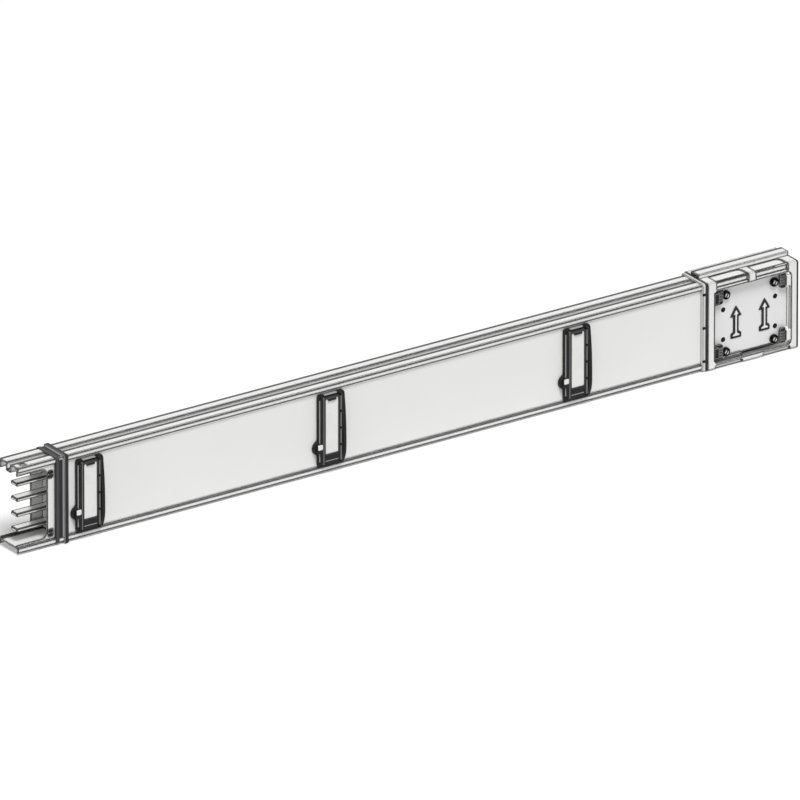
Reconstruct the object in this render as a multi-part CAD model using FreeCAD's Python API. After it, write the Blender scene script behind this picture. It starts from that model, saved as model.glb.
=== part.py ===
"""Busway section: one length of busbar trunking, with its bars in air.

A folded steel casing of four sheets carries four flat aluminium bars edge to edge in insulating
combs. The left end is a bare tongue: the rails and bars run on past a collar, so that they plug
into the joint block of the section before. The right end carries this section's own joint block,
with a removable cover, a clamping plate with four tie bolts, and four contact jaws. Three plug-in
outlets on the front face each have a hinged door over a socket with one slot for each bar.

Row frame: +X along the section from the tongue to the joint block, +Y from the front face to the
back, +Z up. The origin is on the floor, midway along the length and depth. All sizes are in mm.
"""

import FreeCAD
import Part
import math
import os

# Overall sizes.
overall_length = 1500.0        # tongue tip to the open end of the joint block
casing_width = 54.0            # rail face to rail face, along Y
casing_height = 146.0          # underside of the bottom rail to the ridges of the top rail
stand = 4.0                    # how far the collars hold the casing off the floor

# Folded sheet.
sheet = 1.5                    # thickness of the rails and panels
hem = 3.0                      # thickness of the rails' hemmed lips, which sets the panels back
lip_height = 8.4               # depth of the rails' lips over the panels
groove_width = 10.0            # groove along the top rail
groove_depth = 13.0
panel_flange = 5.0             # flanges that seat the panels on the rails
bend_radius = 1.2              # outer radius of the folds

# Bars.
bar_count = 4
bar_width = 18.0               # along Y
bar_thickness = 7.0            # along Z
bar_chamfer = 2.0
bar_pitch = 26.2
lowest_bar = 30.1              # middle of the lowest bar above the casing's underside
bar_setback = 10.0             # how far the bars stop short of the rails' tips
bar_play = 0.2                 # gap around a bar in the combs that carry it

# Tongue: the bare end of the rails and bars, the same at both ends of the casing.
tongue_length = 72.0           # rail tip to collar
notch_length = 57.0            # rail tip to the upright edge of the notch in a panel
notch_bottom = 13.2            # notch above the casing's underside
notch_head = 15.0              # notch below the ridges
notch_radius = 10.0
locating_hole_radius = 4.5     # hole in the front ridge of the top rail
locating_hole_from_tip = 16.6

# End combs, which hold the bars just inside each collar.
comb_from_tip = 80.0
comb_length = 14.0
comb_play = 0.3
arm_thickness = 2.0
arm_height = 16.0
arm_lead = 4.8                 # arm past the middle of its lug
lug_length = 8.0               # snap lug along X
lug_height = 10.6
lug_play = 0.3
lug_from_tip = 64.2
lug_heights = (19.6, 120.2)    # above the casing's underside

# Collars.
low_rib_width = 6.4
low_rib_proud = 1.5
rib_gap = 9.6
tall_rib_width = 6.5
collar_width = 8.0             # the single-rib collar beside the joint block
collar_proud_side = 3.5
collar_proud_top = 3.0
collar_corner = 4.0
web_proud = 0.9                # web between the left collar's ribs, over the rails
web_corner = 4.0               # how much of the rails' front and back edges the web leaves bare
mark_height = 4.0              # finger notches on the front of the single-rib collar
mark_depth = 1.6
mark_length = 4.0
mark_margin = 15.0             # outer marks from the casing's underside and ridges

# Outlets.
first_outlet = 136.0           # tongue tip to the middle of the first outlet
outlet_pitches = (461.5, 474.5)    # from each outlet to the next
outlet_width = 49.6
outlet_foot = 10.5             # outlet above the casing's underside
outlet_head = 12.5             # outlet below the ridges
outlet_corner = 3.6
gasket_thickness = 1.0
frame_depth = 5.0
soft_edge = 1.0                # rounding of moulded edges
well_left = 15.0               # well from the outlet's middle, to the left and right
well_right = 12.0
well_end_margin = 9.5          # well to the frame's top and bottom
well_corner = 3.0
spigot_wall = 2.0              # rim of the frame that passes through the panel
spigot_play = 0.3
socket_plate = 4.5             # thickness of the slotted plate
socket_margin = 2.0            # socket plate past the panel's cut-out
slot_half_height = 4.2
slot_corner = 1.5
slot_left = 11.0
slot_right = 9.0
mid_comb_length = 6.0          # the comb that carries the bars beside each socket

# Doors.
door_left = 21.4               # door's left edge from the outlet's middle
door_thickness = 3.2
door_margin = 3.5              # frame showing above and below the door
door_corner = 4.0
running_gap = 0.3              # between the door and the frame
hinge_offset = 16.5            # hinge axis from the outlet's middle
knuckle_radius = 2.3
knuckle_length = 24.0
knuckle_count = 4
lug_width = 4.0                # frame lugs between the door's knuckles
knuckle_gap = 0.4
pin_radius = 1.1
pin_running = 0.08             # radial clearance of the pin in the door
hinge_relief = 0.4             # door plate to knuckle
shroud_play = 0.8              # knuckle to the bowed hinge shroud
shroud_proud = 5.5             # bow of the shroud past the frame's face
shroud_peak = 37.0             # peak of the bow above the frame's bottom
shroud_shoulder = 0.4          # place between each end and the peak where the bow is fullest
shroud_full_low = 0.8          # bow there, as a share of the peak
shroud_full_high = 0.66
window_left = 14.2             # pale panel in the door, from the outlet's middle
window_right = 10.4
window_foot = 21.5             # above the frame's bottom
window_head = 6.6              # below the frame's top
window_corner = 2.0
window_recess = 1.2
bead_width = 2.0
bead_height = 1.0
inlay_play = 0.2
inlay_thickness = 1.0
grip_left = 9.5                # grip lip at the head of the window
grip_right = 5.5
grip_height = 3.5
grip_proud = 1.0

# Door catch.
ear_radius = 12.0
ear_offset = 22.0              # ear's middle from the outlet's middle
ear_height = 32.2              # ear's middle above the frame's bottom
tab_reach = 7.4                # door's tab past its left edge
tab_corner = 2.0
tab_half_height = 8.2
button_size = 8.6
button_offset = 24.0           # button's middle from the outlet's middle
button_thickness = 1.2
button_corner = 1.5
button_edge = 0.5
button_rise = 3.4              # button's middle above the ear's

# Joint block.
block_length = 176.0
seat_clearance = 0.4           # joint block to the next section's collar
block_play = 0.3               # cover and housing around the rails
cover_proud = 5.0              # cover's face past the rails' face
cover_inner = 0.5              # cover's inner face past the rails' face
cover_top = 2.3                # cover's top above the ridges
cover_bottom = 2.4             # cover's underside below the casing
cover_depth = 28.0             # cover's face to its edge on the housing
cover_round = 3.6
window_half = 74.2             # cover's window each side of the joint's middle
cover_window_foot = 6.5        # above the casing's underside
cover_window_head = 13.0       # below the ridges
cover_window_corner = 8.0
window_return = 1.5            # thickness of the window's turned-in sides
window_return_play = 0.3       # between the turned-in sides and the panels
scoop_length = 62.0            # finger scoops over the cover's top edge
scoop_inner = 8.5              # first scoop's right end from the joint's middle
scoop_second = 6.0             # second scoop's left end from the joint's middle
scoop_floor = 1.3              # depth below the cover's top
scoop_front = 3.8              # depth behind the cover's face
scoop_foot = 12.0              # lower end on the cover's face, below the ridges
scoop_back = 1.0               # land behind the scoops
scoop_corner = 10.0
scoop_slope = 0.8              # rise of the scoops' foot for each mm of depth
scoop_ease = 2.0               # bevel at the back of a scoop's foot
toe_length = 52.0              # shallow toe pockets along the cover's bottom edge
toe_inner = 20.5
toe_height = 6.5
toe_depth = 2.4
hump_width = 21.0              # raised cable-way along the top of the housing
hump_height = 6.6
housing_proud = 8.5            # housing's back past the rails' face
housing_wall = 2.0
back_wall = 3.0
hump_slot_length = 10.5
hump_slot_depth = 3.8
hump_slot_drop = 1.6           # depth of the slots below the hump's top
hump_slot_from_middle = (-62.6, 66.0)

# Clamping plates inside the joint.
plate_setback = 6.3            # plate's face behind the rails' face
plate_half = 75.0
plate_foot = 10.3              # above the casing's underside
plate_head = 15.2              # below the ridges
plate_corner = 4.0
arrow_rise = 1.2
arrow_offset = 27.8            # arrows each side of their own middle
arrow_middle = 1.8             # their middle to the right of the joint's
arrow_bottom = 38.4
arrow_height = 52.6
arrow_head = 15.5
arrow_width = 18.0
arrow_shaft = 8.0
arrow_foot = 6.0
arrow_slope = 3.0              # height over which the foot narrows to the shaft

# Tie bolts, rivets and clips of the joint.
bolt_half_x = 47.0
bolt_clearance = 0.4           # lower bolt heads to the panels' strips
bolt_jaw_gap = 0.6             # upper bolts to the highest jaw
bolt_radius = 2.5
bolt_play = 0.2
washer_radius = 7.4
washer_thickness = 1.6
bolt_head_flats = 10.0
bolt_head_height = 4.6
nut_flats = 8.0
nut_height = 3.6
rivet_half_x = 50.6
rivet_heights = (39.5, 91.4)
rivet_head_radius = 4.3
rivet_head_height = 1.4
rivet_radius = 1.6
rivet_play = 0.1
rivet_tail = 2.0
rivet_tail_radius = 2.4
rivet_head_round = 0.98        # rounding of the head's edge
clip_width = 15.0
clip_height = 25.5
clip_depth = 7.2
clip_hook = 3.4
clip_play = 0.3                # clip in front of the panels
clip_stem_inset = 5.0          # clip's stem in from its edges, to pass through the notches
clip_groove = 1.6
clip_groove_pitch = 4.6
clip_groove_depth = 1.2
clip_grooves = 4
clip_round = 4.0

# Contact jaws and the core that carries them.
jaw_plate = 2.0
jaw_width = 17.0
jaw_play = 0.1
jaw_overlap = 40.0             # how far a jaw grips along a bar
core_play = 1.2
hole_play = 0.2

# Derived places in the row frame.
x_left = -overall_length / 2
x_right = overall_length / 2
x_joint = x_right - block_length / 2
x_block = x_right - block_length
tip_gap = block_length - 2 * (tongue_length - seat_clearance)
x_tip = x_joint - tip_gap / 2
y_rail = -casing_width / 2
y_panel = y_rail + hem
y_inside = y_panel + sheet
z_base = stand
z_ledge = z_base + lip_height
z_top = z_base + casing_height
z_ridge_inside = z_top - sheet
z_groove_underside = z_top - groove_depth - sheet
bar_heights = [z_base + lowest_bar + n * bar_pitch for n in range(bar_count)]
outlet_places = [x_left + first_outlet + sum(outlet_pitches[:n]) for n in range(len(outlet_pitches) + 1)]
y_gasket = y_panel - gasket_thickness
y_frame = y_gasket - frame_depth
y_door_back = y_frame - running_gap
y_door = y_door_back - door_thickness
y_hinge = y_frame - running_gap - knuckle_radius
y_window = y_door + window_recess
y_cover = y_rail - cover_proud
y_cover_inner = y_rail - cover_inner
y_cover_edge = y_cover + cover_depth
y_housing = -y_rail + housing_proud
y_plate = y_rail + plate_setback
z_notch_low = z_base + notch_bottom
z_notch_high = z_top - notch_head
z_outlet = z_base + outlet_foot
z_outlet_top = z_top - outlet_head
z_plate = z_base + plate_foot
z_plate_top = z_top - plate_head
z_cover = z_base - cover_bottom
z_cover_top = z_top + cover_top
half_jaw = bar_thickness / 2 + jaw_play + jaw_plate
bolt_rows = {
    "lower": z_notch_low + bolt_clearance + bolt_head_flats / 2,
    "upper": bar_heights[-1] + half_jaw + bolt_jaw_gap + bolt_radius,
}
rivet_rows = {"lower": z_base + rivet_heights[0], "upper": z_base + rivet_heights[1]}
mark_rows = (z_base + mark_margin, (z_base + z_top) / 2, z_top - mark_margin)
cut_depth = 50.0               # how far a cut runs past the open side of what it cuts
short_cut = 10.0               # the same, where another part stands behind


def point(x, y, z):
    return FreeCAD.Vector(x, y, z)


def block(x0, x1, y0, y1, z0, z1):
    """A plain box between two corners."""
    return Part.makeBox(x1 - x0, y1 - y0, z1 - z0, point(x0, y0, z0))


def outline(corners, radii):
    """A closed wire through the corners, each rounded by its radius (0 leaves it sharp)."""
    count = len(corners)
    edges = []
    starts = []
    ends = []
    arcs = []
    for n, corner in enumerate(corners):
        before = corners[n - 1] - corner
        after = corners[(n + 1) % count] - corner
        radius = radii[n]
        if radius <= 0:
            starts.append(corner)
            ends.append(corner)
            arcs.append(None)
            continue
        before.normalize()
        after.normalize()
        half = before.getAngle(after) / 2
        reach = radius / math.tan(half)
        bisector = before + after
        bisector.normalize()
        middle = corner + bisector * (radius / math.sin(half) - radius)
        starts.append(corner + before * reach)
        ends.append(corner + after * reach)
        arcs.append(Part.Arc(starts[-1], middle, ends[-1]).toShape())
    for n in range(count):
        if arcs[n]:
            edges.append(arcs[n])
        following = (n + 1) % count
        if (starts[following] - ends[n]).Length > 1e-6:
            edges.append(Part.LineSegment(ends[n], starts[following]).toShape())
    return Part.Wire(edges)


def rod_x(corners, x0, x1, radii=None):
    """A profile given as (y, z) corners, run along X."""
    radii = radii or [0] * len(corners)
    wire = outline([point(x0, y, z) for y, z in corners], radii)
    return Part.Face(wire).extrude(point(x1 - x0, 0, 0))


def plate_y(corners, y0, y1, radii=None):
    """A profile given as (x, z) corners, run along Y."""
    radii = radii or [0] * len(corners)
    wire = outline([point(x, y0, z) for x, z in corners], radii)
    return Part.Face(wire).extrude(point(0, y1 - y0, 0))


def rounded_x(y0, y1, z0, z1, radius, x0, x1):
    """A rounded rectangle in Y and Z, run along X."""
    return rod_x([(y0, z0), (y1, z0), (y1, z1), (y0, z1)], x0, x1, [radius] * 4)


def rounded_y(x0, x1, z0, z1, radius, y0, y1):
    """A rounded rectangle in X and Z, run along Y."""
    return plate_y([(x0, z0), (x1, z0), (x1, z1), (x0, z1)], y0, y1, [radius] * 4)


def disc_y(x, z, radius, y0, y1):
    """A round bar along Y."""
    return Part.makeCylinder(radius, y1 - y0, point(x, y0, z), point(0, 1, 0))


def post_z(x, y, radius, z0, z1):
    """A round bar along Z."""
    return Part.makeCylinder(radius, z1 - z0, point(x, y, z0), point(0, 0, 1))


def hexagon_y(x, z, flats, y0, y1):
    """A hexagonal bar along Y, given its width across flats."""
    reach = flats / 2 / math.cos(math.pi / 6)
    corners = [
        (x + reach * math.cos(math.pi / 3 * n), z + reach * math.sin(math.pi / 3 * n)) for n in range(6)
    ]
    return plate_y(corners, y0, y1)


def round_face_y(shape, y, radius):
    """Rounds every edge of the shape that lies in the plane at y."""
    edges = [e for e in shape.Edges if all(abs(v.Point.y - y) < 1e-6 for v in e.Vertexes)]
    return shape.makeFillet(radius, edges)


def mirror_y(shape):
    """The same shape on the other side of the middle plane."""
    return shape.mirror(point(0, 0, 0), point(0, 1, 0))


def save(name, shape):
    """Writes one sub-part as parts/NAME.step."""
    solids = shape.Solids
    if not solids or not all(s.isValid() and s.Volume > 0 for s in solids):
        raise ValueError(f"{name} is not a sound solid")
    body = solids[0] if len(solids) == 1 else Part.makeCompound(solids)
    body.exportStep(f"parts/{name}.step")
    print(f"{name}: {len(solids)} solid, {sum(s.Volume for s in solids) / 1000:.2f} cm3")


def top_rail():
    """The folded sheet with two ridges, a groove between them and a hemmed lip on each side."""
    half_groove = groove_width / 2
    right = [
        (half_groove, z_top - groove_depth),
        (half_groove, z_top),
        (-y_rail, z_top),
        (-y_rail, z_top - lip_height),
        (-y_panel, z_top - lip_height),
        (-y_panel, z_ridge_inside),
        (half_groove + sheet, z_ridge_inside),
        (half_groove + sheet, z_groove_underside),
    ]
    radii = [0, bend_radius, bend_radius, 0, 0, 0, 0, bend_radius]
    left = [(-y, z) for y, z in reversed(right)]
    rail = rod_x(right + left, x_left, x_tip, radii + radii[::-1])
    hole = post_z(
        x_left + locating_hole_from_tip,
        (y_rail - half_groove) / 2,
        locating_hole_radius,
        z_ridge_inside - sheet,
        z_top + sheet,
    )
    return rail.cut(hole)


def bottom_rail():
    """The folded sheet under the bars: a floor with a hemmed lip hanging on each side."""
    floor = z_ledge - sheet
    corners = [
        (y_rail, z_base),
        (y_rail, z_ledge),
        (-y_rail, z_ledge),
        (-y_rail, z_base),
        (-y_panel, z_base),
        (-y_panel, floor),
        (y_panel, floor),
        (y_panel, z_base),
    ]
    return rod_x(corners, x_left, x_tip, [0, bend_radius / 2, bend_radius / 2, 0, 0, 0, 0, 0])


def notch(x_from, x_to, opens_left):
    """The bite out of a panel that lets the joint's jaws reach the bars."""
    radii = [0, notch_radius, notch_radius, 0] if opens_left else [notch_radius, 0, 0, notch_radius]
    corners = [(x_from, z_notch_low), (x_to, z_notch_low), (x_to, z_notch_high), (x_from, z_notch_high)]
    return plate_y(corners, y_panel - cut_depth, y_inside + short_cut, radii)


def side_panel():
    """The front panel's sheet before its outlet cut-outs, flanged top and bottom and notched at its ends."""
    inner = y_panel + panel_flange
    corners = [
        (y_panel, z_ledge),
        (inner, z_ledge),
        (inner, z_ledge + sheet),
        (y_inside, z_ledge + sheet),
        (y_inside, z_ridge_inside - sheet),
        (inner, z_ridge_inside - sheet),
        (inner, z_ridge_inside),
        (y_panel, z_ridge_inside),
    ]
    panel = rod_x(corners, x_left, x_tip)
    panel = panel.cut(notch(x_left - cut_depth, x_left + notch_length, True))
    panel = panel.cut(notch(x_tip - notch_length, x_tip + cut_depth, False))
    for x in (x_left + lug_from_tip, x_tip - lug_from_tip):
        for height in lug_heights:
            half_x = lug_length / 2 + lug_play
            half_z = lug_height / 2 + lug_play
            z = z_base + height
            panel = panel.cut(
                block(x - half_x, x + half_x, y_panel - sheet, y_inside + sheet, z - half_z, z + half_z)
            )
    return panel


def well_box(x, grow):
    """The well's corners in X and Z, grown all round: (x0, x1, z0, z1)."""
    return (
        x - well_left - grow,
        x + well_right + grow,
        z_outlet + well_end_margin - grow,
        z_outlet_top - well_end_margin + grow,
    )


def front_panel():
    """The front sheet, with a cut-out for each outlet's spigot."""
    panel = side_panel()
    for x in outlet_places:
        cut = rounded_y(
            *well_box(x, spigot_wall + spigot_play),
            well_corner + spigot_wall + spigot_play,
            y_panel - sheet,
            y_inside + sheet,
        )
        panel = panel.cut(cut)
    return panel


def chamfered(u0, u1, v0, v1, cut):
    """The corners of a rectangle whose own corners are cut off."""
    lower = [(u0, v0 + cut), (u0 + cut, v0), (u1 - cut, v0), (u1, v0 + cut)]
    upper = [(u1, v1 - cut), (u1 - cut, v1), (u0 + cut, v1), (u0, v1 - cut)]
    return lower + upper


def busbar(z):
    """One flat bar with chamfered edges and ends."""
    half_y = bar_width / 2
    x0 = x_left + bar_setback
    x1 = x_tip - bar_setback
    z0 = z - bar_thickness / 2
    z1 = z + bar_thickness / 2
    bar = rod_x(chamfered(-half_y, half_y, z0, z1, bar_chamfer), x0, x1)
    bar = bar.common(plate_y(chamfered(x0, x1, z0, z1, bar_chamfer), -half_y, half_y))
    plan = [point(x, y, z0) for x, y in chamfered(x0, x1, -half_y, half_y, bar_chamfer)]
    return bar.common(Part.Face(outline(plan, [0] * len(plan))).extrude(point(0, 0, bar_thickness)))


def bar_hole(x0, x1, z):
    """The passage for one bar through an insulator."""
    half_y = bar_width / 2 + bar_play
    half_z = bar_thickness / 2 + bar_play
    return block(x0, x1, -half_y, half_y, z - half_z, z + half_z)


def end_comb(x_from, direction):
    """The insulator just inside a collar, with arms that snap into the panels."""
    x0, x1 = sorted((x_from, x_from + direction * comb_length))
    low = z_ledge + sheet + comb_play
    high = z_groove_underside - comb_play
    half_y = -y_inside - comb_play / 2
    comb = block(x0, x1, -half_y, half_y, low, high)
    x_lug = x_from - direction * (comb_from_tip - lug_from_tip)
    x_arm = x_lug - direction * arm_lead
    a0, a1 = sorted((x_arm, x_from))
    for height in lug_heights:
        z = z_base + height
        z0 = max(z - arm_height / 2, low)
        z1 = min(z + arm_height / 2, high)
        arm = block(a0, a1, -half_y, -half_y + arm_thickness, z0, z1)
        lug = block(
            x_lug - lug_length / 2,
            x_lug + lug_length / 2,
            y_panel,
            -half_y,
            z - lug_height / 2,
            z + lug_height / 2,
        )
        for piece in (arm, lug):
            comb = comb.fuse([piece, mirror_y(piece)])
    for z in bar_heights:
        comb = comb.cut(bar_hole(x0 - 1, x1 + 1, z))
    return comb.removeSplitter()


def rib(x0, x1, side, top, bottom):
    """A ring round the casing that fits its ridges, its lips and its set-back panels."""
    y0 = y_rail - side
    ring = rounded_x(y0, -y0, z_base - bottom, z_top + top, collar_corner, x0, x1)
    hole = block(x0 - 1, x1 + 1, y_rail, -y_rail, z_base, z_top)
    filling = block(x0, x1, y_rail, y_panel, z_ledge, z_top - lip_height)
    return ring.cut(hole).fuse([filling, mirror_y(filling)])


def left_collar():
    """The collar behind the tongue: a low rib and a tall rib, joined by a web down to the lower ledge."""
    x0 = x_left + tongue_length
    x1 = x0 + low_rib_width
    x2 = x1 + rib_gap
    x3 = x2 + tall_rib_width
    y_out = y_rail - short_cut
    bare_edge = block(x1, x2, y_out, y_rail + web_corner, z_top - web_corner, z_top + short_cut)
    bare_foot = block(x1, x2, y_out, -y_out, z_base - short_cut, z_ledge)
    web = rib(x1, x2, web_proud, web_proud, 0)
    web = web.cut(bare_foot).cut(bare_edge).cut(mirror_y(bare_edge))
    low = rib(x0, x1, low_rib_proud, low_rib_proud, low_rib_proud)
    tall = rib(x2, x3, collar_proud_side, collar_proud_top, stand)
    return low.fuse([web, tall]).removeSplitter()


def right_collar():
    """The single-rib collar beside the joint block, with finger notches on its front."""
    x1 = x_tip - tongue_length
    x0 = x1 - collar_width
    collar = rib(x0, x1, collar_proud_side, collar_proud_top, stand)
    y0 = y_rail - collar_proud_side
    for z in mark_rows:
        collar = collar.cut(
            block(x0 - 1, x0 + mark_length, y0 - 1, y0 + mark_depth, z - mark_height / 2, z + mark_height / 2)
        )
    return collar.removeSplitter()


def ear(x, y0, y1):
    """The half-round ear on a frame's left edge, which the door's tab closes on."""
    z = z_outlet + ear_height
    return disc_y(x - ear_offset, z, ear_radius, y0, y1)


def frame_outline(x, y0, y1):
    """The outlet's outer shape with its ear, run along Y."""
    half = outlet_width / 2
    body = rounded_y(x - half, x + half, z_outlet, z_outlet_top, outlet_corner, y0, y1)
    return body.fuse(ear(x, y0, y1)).removeSplitter()


def outlet_gasket(x):
    """The flat gasket between an outlet's frame and the panel."""
    cut = rounded_y(
        *well_box(x, spigot_wall + spigot_play),
        well_corner + spigot_wall + spigot_play,
        y_gasket - 1,
        y_panel + 1,
    )
    return frame_outline(x, y_gasket, y_panel).cut(cut)


def knuckle_spans():
    """The door's knuckles and the frame's lugs along Z, as two lists of (low, high)."""
    total = knuckle_count * knuckle_length + (knuckle_count + 1) * lug_width
    total += 2 * knuckle_count * knuckle_gap
    z = (z_outlet + z_outlet_top - total) / 2
    knuckles = []
    lugs = [(z, z + lug_width)]
    z += lug_width
    for _ in range(knuckle_count):
        z += knuckle_gap
        knuckles.append((z, z + knuckle_length))
        z += knuckle_length + knuckle_gap
        lugs.append((z, z + lug_width))
        z += lug_width
    return knuckles, lugs


def hinge_shroud(x):
    """The bowed rib on the frame that guards the hinge."""
    x0 = x + hinge_offset + knuckle_radius + shroud_play
    x1 = x + outlet_width / 2
    margin = outlet_corner
    low = z_outlet + margin
    high = z_outlet_top - margin
    peak = point(x0, y_frame - shroud_proud, z_outlet + shroud_peak)
    foot = y_frame + frame_depth / 2
    z_low = low + (peak.z - low) * shroud_shoulder
    z_high = high - (high - peak.z) * shroud_shoulder
    shoulder_low = point(x0, y_frame - shroud_proud * shroud_full_low, z_low)
    shoulder_high = point(x0, y_frame - shroud_proud * shroud_full_high, z_high)
    bow = Part.BSplineCurve()
    bow.interpolate([point(x0, y_frame, low), shoulder_low, peak, shoulder_high, point(x0, y_frame, high)])
    edges = [
        bow.toShape(),
        Part.LineSegment(point(x0, y_frame, high), point(x0, foot, high)).toShape(),
        Part.LineSegment(point(x0, foot, high), point(x0, foot, low)).toShape(),
        Part.LineSegment(point(x0, foot, low), point(x0, y_frame, low)).toShape(),
    ]
    return Part.Face(Part.Wire(edges)).extrude(point(x1 - x0, 0, 0))


def outlet_frame(x):
    """The moulded frame: a rounded surround, a spigot through the panel, hinge lugs and shroud."""
    body = round_face_y(frame_outline(x, y_frame, y_gasket), y_frame, soft_edge)
    spigot = rounded_y(*well_box(x, spigot_wall), well_corner + spigot_wall, y_gasket, y_inside)
    well = rounded_y(*well_box(x, 0), well_corner, y_frame - 1, y_inside + 1)
    lugs = []
    for low, high in knuckle_spans()[1]:
        x_pin = x + hinge_offset
        lugs.append(post_z(x_pin, y_hinge, knuckle_radius, low, high))
        x0 = x_pin - knuckle_radius
        lugs.append(block(x0, x_pin + knuckle_radius, y_hinge, y_frame + soft_edge, low, high))
    frame = body.fuse([spigot, hinge_shroud(x)] + lugs).cut(well)
    frame = frame.cut(post_z(x + hinge_offset, y_hinge, pin_radius, z_outlet, z_outlet_top))
    return frame.removeSplitter()


def hinge_pin(x):
    """The pin through the door's knuckles and the frame's lugs."""
    lugs = knuckle_spans()[1]
    return post_z(x + hinge_offset, y_hinge, pin_radius, lugs[0][0], lugs[-1][1])


def window_box(x, grow):
    """The door window's corners in X and Z, grown all round."""
    return (
        x - window_left - grow,
        x + window_right + grow,
        z_outlet + window_foot - grow,
        z_outlet_top - window_head + grow,
    )


def outlet_door(x):
    """The moulded door: a plate with a beaded window recess, knuckles and a catch tab."""
    x_pin = x + hinge_offset
    right = x_pin - knuckle_radius - hinge_relief
    low = z_outlet + door_margin
    high = z_outlet_top - door_margin
    plate = rounded_y(x - door_left, right, low, high, door_corner, y_door, y_door_back)
    z_tab = z_outlet + ear_height
    tab = rounded_y(
        x - door_left - tab_reach,
        x - door_left + 2 * door_corner,
        z_tab - tab_half_height,
        z_tab + tab_half_height,
        tab_corner,
        y_door,
        y_door_back,
    )
    plate = plate.fuse(tab).removeSplitter()
    plate = round_face_y(plate, y_door, soft_edge)
    bead = rounded_y(*window_box(x, bead_width), window_corner + bead_width, y_door - bead_height, y_door + 1)
    bead = round_face_y(bead, y_door - bead_height, bead_height / 2)
    recess = rounded_y(*window_box(x, 0), window_corner, y_door - bead_height - 1, y_window)
    grip_top = z_outlet_top - window_head
    grip = block(
        x - grip_left,
        x + grip_right,
        y_door - bead_height - grip_proud,
        y_window,
        grip_top - grip_height,
        grip_top + bead_width / 2,
    )
    door = plate.fuse(bead).cut(recess).fuse(grip)
    for z0, z1 in knuckle_spans()[0]:
        barrel = post_z(x_pin, y_hinge, knuckle_radius, z0, z1)
        web = block(right - 1, x_pin, y_door + soft_edge, y_door_back, z0, z1)
        door = door.fuse([barrel, web])
    bore = post_z(x_pin, y_hinge, pin_radius + pin_running, z_outlet, z_outlet_top)
    return door.cut(bore).removeSplitter()


def door_inlay(x):
    """The pale plate that fills the door's window."""
    panel = rounded_y(
        *window_box(x, -inlay_play), window_corner - inlay_play, y_window - inlay_thickness, y_window
    )
    grip_top = z_outlet_top - window_head
    around_grip = block(
        x - grip_left - inlay_play,
        x + grip_right + inlay_play,
        y_window - cut_depth,
        y_window + 1,
        grip_top - grip_height - inlay_play,
        grip_top + 1,
    )
    return panel.cut(around_grip)


def catch_button(x):
    """The small square button on the door's tab."""
    half = button_size / 2
    z = z_outlet + ear_height + button_rise
    middle = x - button_offset
    y_front = y_door - button_thickness
    button = rounded_y(middle - half, middle + half, z - half, z + half, button_corner, y_front, y_door)
    return round_face_y(button, y_front, button_edge)


def socket_box(x):
    """The socket plate's corners in X and Z, kept clear of the rails."""
    x0, x1, z0, z1 = well_box(x, spigot_wall + spigot_play + socket_margin)
    low = z_ledge + sheet + comb_play
    high = z_groove_underside - comb_play
    return x0, x1, max(z0, low), min(z1, high)


def outlet_socket(x):
    """The insulating plate behind an outlet, with one slot in front of each bar."""
    x0, x1, z0, z1 = socket_box(x)
    socket = block(x0, x1, y_inside, y_inside + socket_plate, z0, z1)
    for z in bar_heights:
        slot = rounded_y(
            x - slot_left,
            x + slot_right,
            z - slot_half_height,
            z + slot_half_height,
            slot_corner,
            y_inside - 1,
            y_inside + socket_plate + 1,
        )
        socket = socket.cut(slot)
    return socket


def mid_comb(x):
    """The comb behind a socket's left edge, which the bars pass through."""
    x0, _, z0, z1 = socket_box(x)
    x1 = x0 + mid_comb_length
    comb = block(x0, x1, y_inside + socket_plate, -y_inside - comb_play / 2, z0, z1)
    for z in bar_heights:
        comb = comb.cut(bar_hole(x0 - 1, x1 + 1, z))
    return comb


def scoop(x0, x1):
    """The cutter for one finger scoop over the cover's top front edge, rounded at its right end."""
    z_floor = z_cover_top - scoop_floor
    y_front = y_cover + scoop_front
    y_back = y_cover_edge - scoop_back
    above = z_cover_top + short_cut
    outside = y_cover - short_cut
    z_foot = z_top - scoop_foot
    profile = [
        (outside, z_foot - (y_cover - outside) * scoop_slope),
        (y_front, z_foot + scoop_front * scoop_slope),
        (y_front, z_floor - scoop_ease),
        (y_front + scoop_ease, z_floor),
        (y_back, z_floor),
        (y_back, above),
        (outside, above),
    ]
    cutter = rod_x(profile, x0, x1)
    corners = [
        point(x0, outside - 1, 0),
        point(x1, outside - 1, 0),
        point(x1, y_back, 0),
        point(x0, y_back, 0),
    ]
    plan = Part.Face(outline(corners, [0, 0, scoop_corner, 0])).extrude(point(0, 0, above))
    return cutter.common(plan)


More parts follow.
